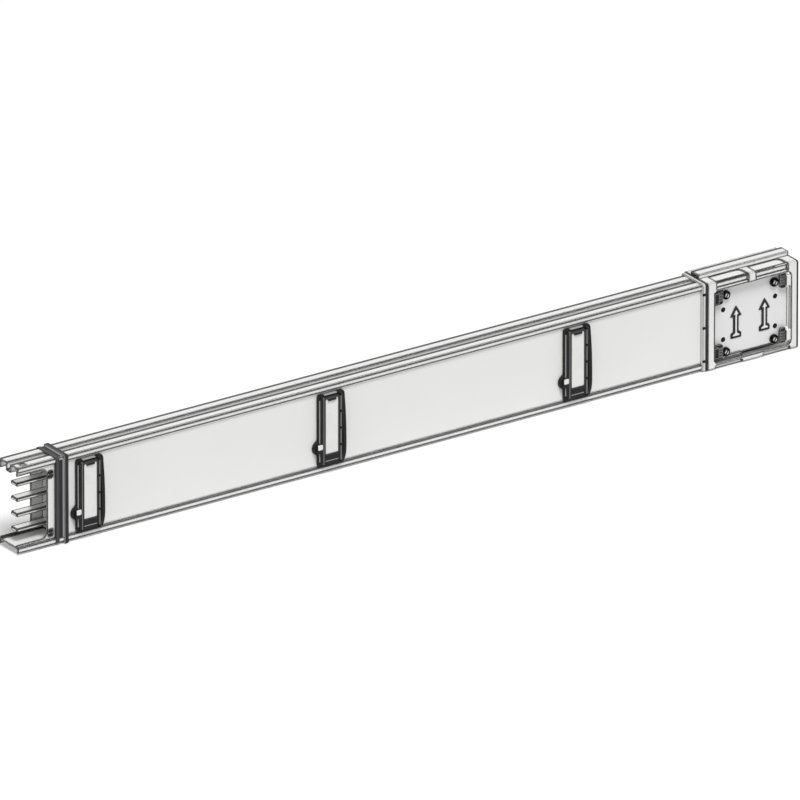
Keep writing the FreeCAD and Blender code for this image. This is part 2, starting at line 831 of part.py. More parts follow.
def joint_cover():
    """The joint block's front cover, with a window whose sides turn in, finger scoops and toe pockets."""
    corners = [
        (y_cover, z_cover),
        (y_cover_edge, z_cover),
        (y_cover_edge, z_base - block_play),
        (y_cover_inner, z_base - block_play),
        (y_cover_inner, z_top + block_play),
        (y_cover_edge, z_top + block_play),
        (y_cover_edge, z_cover_top),
        (y_cover, z_cover_top),
    ]
    radii = [cover_round / 2, 0, 0, 0, 0, 0, 0, cover_round]
    cover = rod_x(corners, x_block, x_right, radii)
    window = rounded_y(
        x_joint - window_half,
        x_joint + window_half,
        z_base + cover_window_foot,
        z_top - cover_window_head,
        cover_window_corner,
        y_cover - 1,
        y_cover_inner + 1,
    )
    cover = cover.cut(window)
    z_low = z_base + cover_window_foot + cover_window_corner
    z_high = z_top - cover_window_head - cover_window_corner
    for side in (-1, 1):
        edge = x_joint + side * window_half
        x0, x1 = sorted((edge, edge + side * window_return))
        cover = cover.fuse(block(x0, x1, y_cover_inner, y_panel - window_return_play, z_low, z_high))
    cover = cover.cut(scoop(x_joint - scoop_inner - scoop_length, x_joint - scoop_inner))
    cover = cover.cut(scoop(x_joint + scoop_second, x_joint + scoop_second + scoop_length))
    for x0 in (x_joint - toe_inner - toe_length, x_joint + toe_inner):
        toe = [
            (x0, z_cover - 1),
            (x0 + toe_length, z_cover - 1),
            (x0 + toe_length, z_cover + toe_height - toe_depth),
            (x0 + toe_length - toe_depth, z_cover + toe_height),
            (x0 + toe_depth, z_cover + toe_height),
            (x0, z_cover + toe_height - toe_depth),
        ]
        cover = cover.cut(plate_y(toe, y_cover - 1, y_cover + toe_depth))
    return cover


def joint_housing():
    """The back of the joint block, with a raised way along its top."""
    y0 = y_cover_edge
    y1 = y0 + hump_width
    hump = z_cover_top + hump_height
    corners = [
        (y0, z_cover),
        (y_housing, z_cover),
        (y_housing, z_cover_top),
        (y1, z_cover_top),
        (y1, hump),
        (y0, hump),
        (y0, z_top + block_play),
        (y0 + housing_wall, z_top + block_play),
        (y0 + housing_wall, hump - housing_wall),
        (y1 - housing_wall, hump - housing_wall),
        (y1 - housing_wall, z_top + block_play),
        (y_housing - back_wall, z_top + block_play),
        (y_housing - back_wall, z_base - block_play),
        (y0, z_base - block_play),
    ]
    round_by = [0, cover_round, cover_round, 0, bend_radius, bend_radius] + [0] * 8
    housing = rod_x(corners, x_block, x_right, round_by)
    for offset in hump_slot_from_middle:
        x = x_joint + offset
        housing = housing.cut(
            block(x - hump_slot_length / 2, x + hump_slot_length / 2, y1 - hump_slot_depth, y1 + 1,
                  hump - hump_slot_drop, hump + 1)
        )
    return housing


def arrow(x):
    """An upward arrow with a foot, standing on the clamping plate's face."""
    z0 = z_base + arrow_bottom
    z1 = z0 + arrow_height
    head = z1 - arrow_head
    half = arrow_width / 2
    shaft = arrow_shaft / 2
    corners = [
        (x - half, z0),
        (x + half, z0),
        (x + half, z0 + arrow_foot),
        (x + shaft, z0 + arrow_foot + arrow_slope),
        (x + shaft, head),
        (x + half, head),
        (x, z1),
        (x - half, head),
        (x - shaft, head),
        (x - shaft, z0 + arrow_foot + arrow_slope),
        (x - half, z0 + arrow_foot),
    ]
    return plate_y(corners, y_plate - arrow_rise, y_plate)


def clamping_plate():
    """One of the two plates that the tie bolts draw together, without its arrows."""
    plate = rounded_y(
        x_joint - plate_half,
        x_joint + plate_half,
        z_plate,
        z_plate_top,
        plate_corner,
        y_plate,
        y_plate + sheet,
    )
    for x in (x_joint - bolt_half_x, x_joint + bolt_half_x):
        for z in bolt_rows.values():
            hole = disc_y(x, z, bolt_radius + bolt_play, y_plate - 1, y_plate + sheet + 1)
            plate = plate.cut(hole)
    return plate


def front_plate():
    """The plate seen through the cover's window, with two arrows that show which way is up."""
    plate = clamping_plate()
    for x in (x_joint - rivet_half_x, x_joint + rivet_half_x):
        for z in rivet_rows.values():
            hole = disc_y(x, z, rivet_radius + rivet_play, y_plate - 1, y_plate + sheet + 1)
            plate = plate.cut(hole)
    for offset in (-arrow_offset, arrow_offset):
        plate = plate.fuse(arrow(x_joint + arrow_middle + offset))
    return plate.removeSplitter()


def tie_bolt(x, z):
    """A tie bolt with its washer, head and nut, through both clamping plates."""
    y_washer = y_plate - washer_thickness
    washer = round_face_y(disc_y(x, z, washer_radius, y_washer, y_plate), y_washer, washer_thickness / 3)
    head = hexagon_y(x, z, bolt_head_flats, y_washer - bolt_head_height, y_washer)
    shank = disc_y(x, z, bolt_radius, y_plate, -y_plate)
    nut = hexagon_y(x, z, nut_flats, -y_plate, -y_plate + nut_height)
    return washer.fuse([head, shank, nut]).removeSplitter()


def plate_rivet(x, z):
    """A rivet through the front clamping plate."""
    y_head = y_plate - rivet_head_height
    head = round_face_y(disc_y(x, z, rivet_head_radius, y_head, y_plate), y_head, rivet_head_round)
    tail_end = y_plate + sheet + rivet_tail
    shank = disc_y(x, z, rivet_radius, y_plate, tail_end)
    tail = disc_y(x, z, rivet_tail_radius, y_plate + sheet, tail_end)
    return head.fuse([shank, tail]).removeSplitter()


def corner_clip(side, up):
    """A ribbed clip in one corner of the window: side is -1 for left, up is 1 for the top.

    Its hook catches the cover, its body lies in front of the panel, and its stem passes through
    the panel's notch to the clamping plate.
    """
    edge = x_joint + side * (window_half - block_play)
    outer = edge - side * clip_hook
    inner = outer - side * clip_width
    ribs_from = outer - side * clip_width / 3
    z_edge = z_plate_top if up > 0 else z_plate
    z_inner = z_edge - up * clip_height
    y_front = y_plate - clip_depth
    y_back = y_panel - clip_play
    x0, x1 = sorted((outer, inner))
    z0, z1 = sorted((z_edge, z_inner))
    corners = [(x0, z0), (x1, z0), (x1, z1), (x0, z1)]
    radii = [clip_round if (x, z) == (inner, z_inner) else 0 for x, z in corners]
    body = plate_y(corners, y_front, y_back, radii)
    inset = clip_stem_inset
    stem = block(x0 + inset, x1 - inset, y_back, y_plate, z0 + inset, z1 - inset)
    h0, h1 = sorted((edge, ribs_from))
    hook = block(h0, h1, y_cover + soft_edge / 2, y_front, z0 + clip_round, z1 - clip_round)
    clip = body.fuse([stem, hook])
    g0, g1 = sorted((ribs_from, inner - side))
    for n in range(clip_grooves):
        z = z_edge - up * clip_groove_pitch * (n + 1)
        half = clip_groove / 2
        clip = clip.cut(block(g0, g1, y_front - 1, y_front + clip_groove_depth, z - half, z + half))
    return clip.removeSplitter()


def jaw_box(z):
    """The outside of one contact jaw, as block corners."""
    reach = tip_gap / 2 + bar_setback + jaw_overlap
    return (x_joint - reach, x_joint + reach, -jaw_width / 2, jaw_width / 2, z - half_jaw, z + half_jaw)


def contact_jaw(z):
    """Two plates and a web: it grips this section's bar, and waits open for the next one's."""
    x0, x1, y0, y1, _, _ = jaw_box(z)
    half_gap = bar_thickness / 2 + jaw_play
    web = tip_gap / 2 - core_play
    jaw = block(*jaw_box(z))
    jaw = jaw.cut(block(x0 - 1, x_joint - web, y0 - 1, y1 + 1, z - half_gap, z + half_gap))
    return jaw.cut(block(x_joint + web, x1 + 1, y0 - 1, y1 + 1, z - half_gap, z + half_gap))


def joint_core():
    """The insulator between the two tongues, which carries the jaws between the plates."""
    half_x = tip_gap / 2 - core_play
    y0 = y_plate + sheet
    core = block(x_joint - half_x, x_joint + half_x, y0, -y0, z_plate, z_plate_top)
    for z in bar_heights:
        _, _, jaw_y0, jaw_y1, jaw_z0, jaw_z1 = jaw_box(z)
        core = core.cut(
            block(x_joint - half_x - 1, x_joint + half_x + 1, jaw_y0 - hole_play, jaw_y1 + hole_play,
                  jaw_z0 - hole_play, jaw_z1 + hole_play)
        )
    return core


def main():
    os.makedirs("parts", exist_ok=True)
    save("top_rail", top_rail())
    save("bottom_rail", bottom_rail())
    save("front_panel", front_panel())
    save("back_panel", mirror_y(side_panel()))
    save("left_collar", left_collar())
    save("right_collar", right_collar())
    save("left_bar_comb", end_comb(x_left + comb_from_tip, 1))
    save("right_bar_comb", end_comb(x_tip - comb_from_tip, -1))
    for n, z in enumerate(bar_heights, 1):
        save(f"busbar_{n}", busbar(z))
        save(f"contact_jaw_{n}", contact_jaw(z))
    for n, x in enumerate(outlet_places, 1):
        save(f"outlet_gasket_{n}", outlet_gasket(x))
        save(f"outlet_frame_{n}", outlet_frame(x))
        save(f"outlet_socket_{n}", outlet_socket(x))
        save(f"mid_bar_comb_{n}", mid_comb(x))
        save(f"outlet_door_{n}", outlet_door(x))
        save(f"door_inlay_{n}", door_inlay(x))
        save(f"catch_button_{n}", catch_button(x))
        save(f"hinge_pin_{n}", hinge_pin(x))
    save("joint_cover", joint_cover())
    save("joint_housing", joint_housing())
    save("front_clamping_plate", front_plate())
    save("back_clamping_plate", mirror_y(clamping_plate()))
    save("joint_core", joint_core())
    for side, side_name in ((-1, "left"), (1, "right")):
        x_bolt = x_joint + side * bolt_half_x
        x_rivet = x_joint + side * rivet_half_x
        for up, row in ((-1, "lower"), (1, "upper")):
            save(f"tie_bolt_{row}_{side_name}", tie_bolt(x_bolt, bolt_rows[row]))
            save(f"plate_rivet_{row}_{side_name}", plate_rivet(x_rivet, rivet_rows[row]))
            save(f"corner_clip_{row}_{side_name}", corner_clip(side, up))


if __name__ == "__main__":
    main()
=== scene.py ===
import math

import bmesh
import bpy
from bpy.props import FloatProperty, FloatVectorProperty, PointerProperty
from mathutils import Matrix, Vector


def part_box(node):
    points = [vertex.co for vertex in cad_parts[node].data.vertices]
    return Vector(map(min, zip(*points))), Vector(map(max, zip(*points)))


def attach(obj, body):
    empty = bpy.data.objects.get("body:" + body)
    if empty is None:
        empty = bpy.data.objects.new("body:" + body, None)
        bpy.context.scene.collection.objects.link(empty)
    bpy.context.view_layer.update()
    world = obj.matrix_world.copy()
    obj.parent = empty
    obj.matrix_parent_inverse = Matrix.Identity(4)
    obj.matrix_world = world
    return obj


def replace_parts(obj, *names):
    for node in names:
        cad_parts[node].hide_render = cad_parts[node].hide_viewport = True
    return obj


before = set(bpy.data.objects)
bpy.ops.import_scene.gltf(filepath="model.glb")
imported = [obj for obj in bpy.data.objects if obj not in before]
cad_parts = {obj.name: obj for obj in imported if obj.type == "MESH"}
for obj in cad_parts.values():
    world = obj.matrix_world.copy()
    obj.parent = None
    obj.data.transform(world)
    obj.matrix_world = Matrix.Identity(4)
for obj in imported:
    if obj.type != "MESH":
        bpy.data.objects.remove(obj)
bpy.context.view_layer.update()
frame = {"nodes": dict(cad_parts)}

bl_info = {
    "name": "Busway section looks",
    "version": (1, 0, 0),
    "blender": (4, 5, 0),
    "location": "3D View > Sidebar > Busway",
    "description": "Finishes, fastenings, markings and stage for a section of busbar trunking",
    "category": "Object",
}

MM = 0.001

RAYS = 12                # for each rounded edge and each crease
NOISE = (0.3, 0.7)       # where most of a noise's values lie
OPEN_FACE = 0.996        # likeness of the soft and the true normal on a face
EDGE_FULL = 0.968        # likeness at which an edge's painted shade is full
FOLD_FADE = 0.04         # change of squareness over which a fold fades
LOOKS_UP = 0.9           # upward part of the normal on a face that looks up
CREASE = (0.80, 0.40)    # openness at a crease's mouth and at its bottom

# The left collar's low rib and the end of its soft band, in widths of the right collar's rib
LOW_RIB = (0.2, 0.6)
BAND_END = 0.8

# Ends of the painted highlight stripes, in stripe widths from the edge or axis that each one follows
DOOR_EDGE = (2.2, 3.1)
HINGE_SIDE = (-1.3, -0.3)
DOOR_FOOT = (0.0, 0.8)
FRAME_HEAD = (-0.9, 1.0)
FRAME_EDGE = (-1.6, -0.3)


class Value:
    """A socket of a shader tree. Python arithmetic on it adds Math nodes."""

    def __init__(self, tree, socket):
        self.tree = tree
        self.socket = socket

    def put(self, place):
        """Links the socket to another node's input."""
        self.tree.links.new(self.socket, place)

    def math(self, operation, first, second):
        """Adds a Math node on two values."""
        node = self.tree.nodes.new("ShaderNodeMath")
        node.operation = operation
        for place, value in zip(node.inputs, (first, second)):
            if isinstance(value, Value):
                value.put(place)
            else:
                place.default_value = value
        return Value(self.tree, node.outputs[0])

    def __add__(self, other):
        return self.math("ADD", self, other)

    __radd__ = __add__

    def __sub__(self, other):
        return self.math("SUBTRACT", self, other)

    def __rsub__(self, other):
        return self.math("SUBTRACT", other, self)

    def __mul__(self, other):
        return self.math("MULTIPLY", self, other)

    __rmul__ = __mul__

    def __lt__(self, other):
        return self.math("LESS_THAN", self, other)

    def __gt__(self, other):
        return self.math("GREATER_THAN", self, other)

    def larger(self, other):
        return self.math("MAXIMUM", self, other)


class Finish:
    """One procedural material, made of nodes on the object's own coordinates."""

    def __init__(self, name):
        self.material = bpy.data.materials.new(name)
        self.material.use_nodes = True
        self.tree = self.material.node_tree
        self.tree.nodes.clear()
        self.place = self.node("ShaderNodeTexCoord", output="Object")

    def node(self, kind, settings=None, inputs=None, output=0):
        """Adds a node, sets it up, feeds its sockets and gives one of its outputs."""
        node = self.tree.nodes.new(kind)
        for key, setting in (settings or {}).items():
            setattr(node, key, setting)
        for key, value in (inputs or {}).items():
            place = node.inputs[key]
            if isinstance(value, Value):
                value.put(place)
            elif place.type == "RGBA":
                place.default_value = (*value[:3], 1.0)
            else:
                place.default_value = value
        return Value(self.tree, node.outputs[output]) if len(node.outputs) else node

    def noise(self, size, detail=2.0, stretch=(1.0, 1.0, 1.0)):
        """Soft noise from 0 to 1 whose grain is that many metres across."""
        inputs = {"Vector": self.place, "Scale": stretch}
        scaled = self.node("ShaderNodeMapping", {"vector_type": "POINT"}, inputs)
        inputs = {"Vector": scaled, "Scale": 1 / size, "Detail": detail}
        return self.node("ShaderNodeTexNoise", None, inputs)

    def spread(self, value, low, high, to_low=0.0, to_high=1.0):
        """Eases a value from one range to another."""
        inputs = {"Value": value, "From Min": low, "From Max": high}
        inputs.update({"To Min": to_low, "To Max": to_high})
        return self.node("ShaderNodeMapRange", {"interpolation_type": "SMOOTHSTEP"}, inputs)

    def mix(self, factor, first, second):
        """Blends two colours."""
        inputs = {0: factor, 6: first, 7: second}
        return self.node("ShaderNodeMix", {"data_type": "RGBA", "clamp_factor": True}, inputs, 2)

    def shade(self, colour, share):
        """A colour made lighter or darker by a value."""
        inputs = {0: colour, "Scale": share}
        return self.node("ShaderNodeVectorMath", {"operation": "SCALE"}, inputs, "Vector")

    def part(self, vector, axis):
        """A vector's part along an axis."""
        return self.node("ShaderNodeSeparateXYZ", None, {"Vector": vector}, axis)

    def band(self, axis, low, high):
        """1 between two places along an axis of the object, 0 elsewhere."""
        place = self.part(self.place, axis)
        return (place > low) * (place < high)

    def soft_normal(self, radius):
        """The surface's normal with its sharp edges rounded."""
        return self.node("ShaderNodeBevel", {"samples": RAYS}, {"Radius": radius})

    def rim(self, radius, least=0.95):
        """1 on an edge, falling to 0 within the radius, sooner for a smaller least."""
        true_normal = self.node("ShaderNodeNewGeometry", output="Normal")
        inputs = {0: self.soft_normal(radius), 1: true_normal}
        alike = self.node("ShaderNodeVectorMath", {"operation": "DOT_PRODUCT"}, inputs, "Value")
        return self.spread(alike, OPEN_FACE, least)

    def fold(self, squareness):
        """1 where the surface turns between its square sides, 0 on those sides."""
        normal = self.node("ShaderNodeTexCoord", output="Normal")
        sides = self.node("ShaderNodeVectorMath", {"operation": "ABSOLUTE"}, {0: normal})
        across, depth, up = (self.part(sides, axis) for axis in "XYZ")
        return self.spread(across.larger(depth).larger(up), squareness + FOLD_FADE, squareness)

    def edges(self, radius, squareness, top_radius):
        """1 on sharp edges and on folds, with its own radius on faces that look up."""
        normal = self.node("ShaderNodeTexCoord", output="Normal")
        up = self.part(normal, "Z") > LOOKS_UP
        on_top = self.rim(top_radius, EDGE_FULL) * up
        return self.rim(radius, EDGE_FULL).larger(self.fold(squareness)).larger(on_top)

    def zoned(self, base, zones):
        """A colour with coloured zones: each a colour, then an axis with two ends, once or more."""
        for zone_colour, *bands in zones:
            inside = self.band(*bands[0])
            for band in bands[1:]:
                inside = inside * self.band(*band)
            base = self.mix(inside, base, zone_colour)
        return base

    def recess(self, reach):
        """1 deep in a crease, 0 on open surface."""
        settings = {"samples": RAYS, "only_local": False}
        openness = self.node("ShaderNodeAmbientOcclusion", settings, {"Distance": reach}, "AO")
        return self.spread(openness, *CREASE)

    def bump(self, height, distance, normal):
        """A normal roughened by a height map."""
        inputs = {"Strength": 1.0, "Distance": distance, "Height": height, "Normal": normal}
        return self.node("ShaderNodeBump", None, inputs)

    def surface(self, inputs):
        """Ends the material in a Principled shader with these sockets."""
        shader = self.node("ShaderNodeBsdfPrincipled", None, inputs)
        self.node("ShaderNodeOutputMaterial", None, {"Surface": shader})
        return self.material


def tone(colour, share):
    """A colour made lighter or darker by a share."""
    return tuple(min(1.0, channel * share) for channel in colour)


def lacquer(name, colour, look, squareness, edge, painted_shade, zones=()):
    """Satin lacquer on sheet steel: orange peel, mottling, and painted shade that turns edges, folds
    and creases near-black.
    """
    coat = Finish(name)
    dim, bright, crease_shade_colour = (tone(colour, share) for share in (0.965, 1.02, 0.05))
    soft = coat.soft_normal(look.fold)
    mottle = coat.noise(160 * MM, 3.0)
    rub = coat.noise(22 * MM, 4.0, (0.35, 1.0, 1.0))
    peel = coat.noise(look.peel, 2.0)
    field = coat.mix(mottle, dim, bright)
    # painted shade: edges and folds turn near-black, in place of the shade that outlines them
    shaded = coat.edges(edge, squareness, edge * look.top_share) * look.edge_shade
    toned = coat.mix(shaded, field, look.steel)
    # painted shade: deep in seams and creases the lacquer darkens towards near-black, where shade
    # falls
    crease_shaded = coat.mix(coat.recess(look.crease) * painted_shade, toned, crease_shade_colour)
    return coat.surface({
        "Base Color": coat.zoned(crease_shaded, zones),
        "Roughness": look.roughness + coat.spread(rub, 0.35, 0.7, -0.05, 0.09),
        "Specular IOR Level": 0.45,
        "Normal": coat.bump(peel, look.peel_height, soft),
    })


def moulding(name, colour, look, roughness, grain=1.0, mottle=0.15, rubbed=6.0, zones=()):
    """Spark-textured moulding: fine grain, slight changes of tone, and painted light on its edges:
    paler as highlights, darker as shade when the factor is below 1.
    """
    mould = Finish(name)
    soft = mould.soft_normal(look.edge)
    cloud = mould.noise(30 * MM, 3.0)
    spark = mould.noise(look.grain * grain, 3.0)
    field = mould.shade(colour, mould.spread(cloud, *NOISE, 1 - mottle, 1 + mottle))
    speckled = mould.shade(field, mould.spread(spark, 0.55, 0.75, 1.0, 1 + 1.5 * mottle))
    # painted light: edges paler than the moulding stand in for highlights; a factor below 1 paints
    # darker edges as shade
    toned = mould.mix(mould.rim(look.lit_reach) * look.rub, speckled, tone(colour, rubbed))
    return mould.surface({
        "Base Color": mould.zoned(toned, zones),
        "Roughness": roughness + mould.spread(cloud, *NOISE, -0.06, 0.06),
        "Specular IOR Level": 0.22,
        "Normal": mould.bump(spark, look.grain_height * grain, soft),
    })


def drawn_metal(name, colour, look, roughness, stretch, zones=()):
    """Metal with draw lines along one axis, slight tarnish, and painted shade that darkens its edges
    and folds.
    """
    metal = Finish(name)
    dim, bright, stained, dark = (tone(colour, share) for share in (0.90, 1.06, 0.72, 0.08))
    soft = metal.soft_normal(look.edge)
    lines = metal.noise(look.line, 2.0, stretch)
    tarnish = metal.noise(35 * MM, 4.0)
    field = metal.mix(metal.spread(lines, *NOISE), dim, bright)
    aged = metal.mix(metal.spread(tarnish, 0.5, 0.8) * 0.45, field, stained)
    # painted shade: edges and folds turn dark
    rims = metal.edges(look.dark_edge_reach, look.squareness, look.dark_edge_reach) * look.dull
    edge_darkened = metal.mix(rims, aged, dark)
    return metal.surface({
        "Base Color": metal.zoned(edge_darkened, zones),
        "Metallic": 1.0,
        "Roughness": roughness + metal.spread(lines, *NOISE, -0.05, 0.07),
        "Normal": metal.bump(lines, look.line_height, soft),
    })


def named(*stems):
    """The frame's nodes whose names start with any of these."""
    found = [name for name in sorted(frame["nodes"]) if name.startswith(stems)]
    if not found:
        raise RuntimeError(f"the frame has no node named {stems}")
    return found


def paint(material, *stems):
    """Gives the frame's nodes a finish."""
    for name in named(*stems):
        slots = frame["nodes"][name].data.materials
        slots.clear()
        slots.append(material)


def add_piece(name, mesh_work, material, body="casing", sharp=35):
    """Turns a bmesh into a shown piece that rides on a body."""
    bmesh.ops.recalc_face_normals(mesh_work, faces=mesh_work.faces)
    mesh = bpy.data.meshes.new(name)
    mesh_work.to_mesh(mesh)
    mesh_work.free()
    mesh.shade_smooth()
    mesh.set_sharp_from_angle(angle=math.radians(sharp))
    mesh.materials.append(material)
    piece = bpy.data.objects.new(name, mesh)
    bpy.context.scene.collection.objects.link(piece)
    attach(piece, body)
    return piece


def bridge_rings(mesh_work, rings, capped=True):
    """Joins closed rings of points into a skin."""
    loops = [[mesh_work.verts.new(point) for point in ring] for ring in rings]
    count = len(loops[0])
    for near, far in zip(loops, loops[1:]):
        for n in range(count):
            after = (n + 1) % count
            mesh_work.faces.new((near[n], near[after], far[after], far[n]))
    if capped:
        mesh_work.faces.new(loops[0])
        mesh_work.faces.new(loops[-1])


def turned(mesh_work, x, z, profile, segments=48):
    """A turned shape about an axis along Y, from (radius, y) pairs."""
    rings = []
    for radius, y in profile:
        angles = [math.tau * n / segments for n in range(segments)]
        rings.append([(x + radius * math.cos(a), y, z + radius * math.sin(a)) for a in angles])
    bridge_rings(mesh_work, rings)


def hexagon(mesh_work, x, z, flats, y0, y1, chamfer):
    """A hexagon along Y whose corners are turned off at both ends."""
    corner = flats / 2 / math.cos(math.pi / 6)
    segments = 72
    rings = []
    limits = (
        (y0, flats / 2 - chamfer / 3),
        (y0 + chamfer / 2, flats / 2 + chamfer / 2),
        (y0 + chamfer, corner),
    )
    ends = limits + tuple((y1 + y0 - y, limit) for y, limit in reversed(limits))
    for y, limit in ends:
        ring = []
        for n in range(segments):
            angle = math.tau * n / segments
            off_flat = (angle % (math.pi / 3)) - math.pi / 6
            radius = min(flats / 2 / math.cos(off_flat), limit)
            ring.append((x + radius * math.cos(angle), y, z + radius * math.sin(angle)))
        rings.append(ring)
    bridge_rings(mesh_work, rings)


def relief(mesh_work, outline, y_base, y_face, chamfer):
    """A flat shape of (x, z) points raised along Y, with its outer edge bevelled."""
    towards = 1 if y_face > y_base else -1
    inner = offset_outline(outline, -chamfer)
    bridge_rings(mesh_work, (
        [(p.x, y_base, p.y) for p in outline],
        [(p.x, y_face - towards * chamfer, p.y) for p in outline],
        [(p.x, y_face, p.y) for p in inner],
    ))


def offset_outline(points, distance):
    """A closed outline of (x, z) points moved outwards, with mitred corners."""
    area = sum(a.x * b.y - b.x * a.y for a, b in zip(points, points[1:] + points[:1]))
    turn = 1 if area > 0 else -1
    sharpest = 0.3    # keeps the mitre of a sharp corner short
    moved = []
    for n, corner in enumerate(points):
        before = (corner - points[n - 1]).normalized()
        after = (points[(n + 1) % len(points)] - corner).normalized()
        normal_before = Vector((before.y, -before.x)) * turn
        normal_after = Vector((after.y, -after.x)) * turn
        mitre = (normal_before + normal_after).normalized()
        moved.append(corner + mitre * (distance / max(sharpest, mitre.dot(normal_after))))
    return moved


def length_property(name, description, default):
    """A length, in metres."""
    return FloatProperty(name=name, description=description, unit="LENGTH", default=default)


def angle_property(name, description, degrees):
    """An angle, from its default in degrees."""
    default = math.radians(degrees)
    return FloatProperty(name=name, description=description, subtype="ANGLE", default=default)


def share_property(name, description, default):
    """A number from 0 to 1."""
    return FloatProperty(name=name, description=description, min=0, max=1, default=default)


def colour_property(name, description, *default):
    """A colour, from its red, green and blue."""
    return FloatVectorProperty(
        name=name, description=description, subtype="COLOR", min=0, max=1, default=default
    )


class SheetLook(bpy.types.PropertyGroup):
    """Lacquered sheet."""

    casing: colour_property("Casing", "Lacquer of the casing and the joint block", 0.86, 0.86, 0.85)
    plate: colour_property("Clamping plates", "Coat of the two clamping plates", 0.84, 0.845, 0.84)
    # Painted shade: the next colour, with the edge widths, folds and lines below, paints near-black
    # bands along edges, folds and back edges, in place of the shade that outlines them
    steel: colour_property("Shaded edges", "Steel that shows where an edge is worn", 0.014, 0.014, 0.015)
    roughness: share_property("Roughness", "Satin of the lacquer", 0.36)
    fold: length_property("Fold radius", "Rounding of the sheets' edges", 0.5 * MM)
    peel: length_property("Peel size", "Grain of the orange peel", 1.6 * MM)
    peel_height: length_property("Peel height", "Depth of the orange peel", 0.02 * MM)
    edge: length_property("Worn edge", "Width of the wear along an edge", 5.4 * MM)
    joint_edge: length_property("Joint's edge", "The same on the joint block", 4.8 * MM)
    top_share: FloatProperty(
        name="Top share", description="Wear's width on faces that look up", min=1, max=4, default=1.25
    )
    outline: length_property("Outline", "Width of the cover's bare end", 3.4 * MM)
    ridge: length_property("Ridge line", "Shaded back edge of a ridge", 6.6 * MM)
    groove: length_property("Groove", "Half the width of the groove in the top", 5 * MM)
    notch: length_property("Notch line", "Shaded edge of the panel's notch", 2.4 * MM)
    notch_lead: length_property("Notch lead", "Notch's edge before the comb", 2.4 * MM)
    notch_round: length_property("Notch round", "Its round corners inside the comb", 8 * MM)
    edge_shade: share_property("Edge wear", "How bare a worn edge is", 1.0)
    sheet_folds: share_property("Sheet folds", "Squareness below which the casing's folds wear", 0.93)
    joint_folds: share_property("Joint folds", "Squareness below which the joint's folds wear", 0.74)
    # Painted shade in seams and creases: how far it reaches, and how dark it is on the casing and in
    # the joint block
    crease: length_property("Crease reach", "How far dust spreads from a seam", 4 * MM)
    crease_shade_depth: share_property("Crease dust", "Darkness of the dust in seams", 0.9)
    joint_crease_shade: share_property("Joint's dust", "The same in the joint block", 0.4)


class MouldingLook(bpy.types.PropertyGroup):
    """Plastic mouldings."""

    collar: colour_property(
        "Left collar", "Colour of the collar behind the tongue", 0.022, 0.022, 0.024
    )
    collar_low: colour_property("Low rib", "Colour of the left collar's low rib", 0.07, 0.07, 0.07)
    collar_band: colour_property(
        "Collar band", "Colour of the soft band beside the tall rib", 0.32, 0.32, 0.32
    )
    end_collar: colour_property(
        "Right collar", "Colour of the collar beside the joint block", 0.66, 0.66, 0.65
    )
    frame: colour_property("Outlet frames", "Colour of the outlets' frames", 0.007, 0.007, 0.0075)
    door: colour_property("Outlet doors", "Colour of the outlets' doors", 0.012, 0.012, 0.0125)
    # Painted highlights: pale stripes on the doors' left edges and hinges, and pale lines on the
    # frames and over the doors' feet
    rubbed: colour_property(
        "Lit stripes", "Door where hands rub it: its left edge and its hinge", 0.2, 0.2, 0.2
    )
    lit_edge: colour_property(
        "Lit ends", "Pale lines on the frames and at the foot of each door", 0.36, 0.36, 0.36
    )
    insulator: colour_property("Insulators", "Colour of the combs, sockets and core", 0.86, 0.85, 0.82)
    inlay: colour_property("Inlays and buttons", "Colour of the doors' pale pieces", 0.84, 0.84, 0.83)
    clip: colour_property(
        "Clips", "Colour of the corner clips and the arrows' borders", 0.008, 0.008, 0.008
    )
    gasket: colour_property("Gaskets", "Colour of the outlets' gaskets", 0.008, 0.008, 0.008)
    edge: length_property("Edge radius", "Rounding of moulded edges", 0.5 * MM)
    grain: length_property("Grain", "Size of the spark texture", 0.5 * MM)
    grain_height: length_property("Grain height", "Depth of the spark texture", 0.04 * MM)
    # Painted light on moulded edges: how strong it is and how wide
    rub: share_property("Rub", "How much the edges are rubbed pale", 0.85)
    lit_reach: length_property("Rub width", "Width of a rubbed edge", 1.6 * MM)
    # Painted highlights: width and places of those stripes and lines
    stripe: length_property("Stripe", "Width of a hand-rubbed stripe", 1.6 * MM)
    foot_line: length_property("Foot line", "Pale line over the door's foot", 5.2 * MM)
    tab_reach: length_property("Tab reach", "Door's tab past its left edge", 7.4 * MM)
    band_width: length_property(
        "Collar band width", "Width of the soft band beside the tall rib", 3.2 * MM
    )
    lip: length_property("Lip width", "Black sealing lip of the right collar", 3.6 * MM)
    mark: length_property("Mark", "Size of the right collar's dark marks", 4.4 * MM)
    mark_margin: length_property("Mark margin", "Outer marks from the casing", 15 * MM)
    hook: length_property("Hook", "Pale hooks of the right clips", 7.6 * MM)


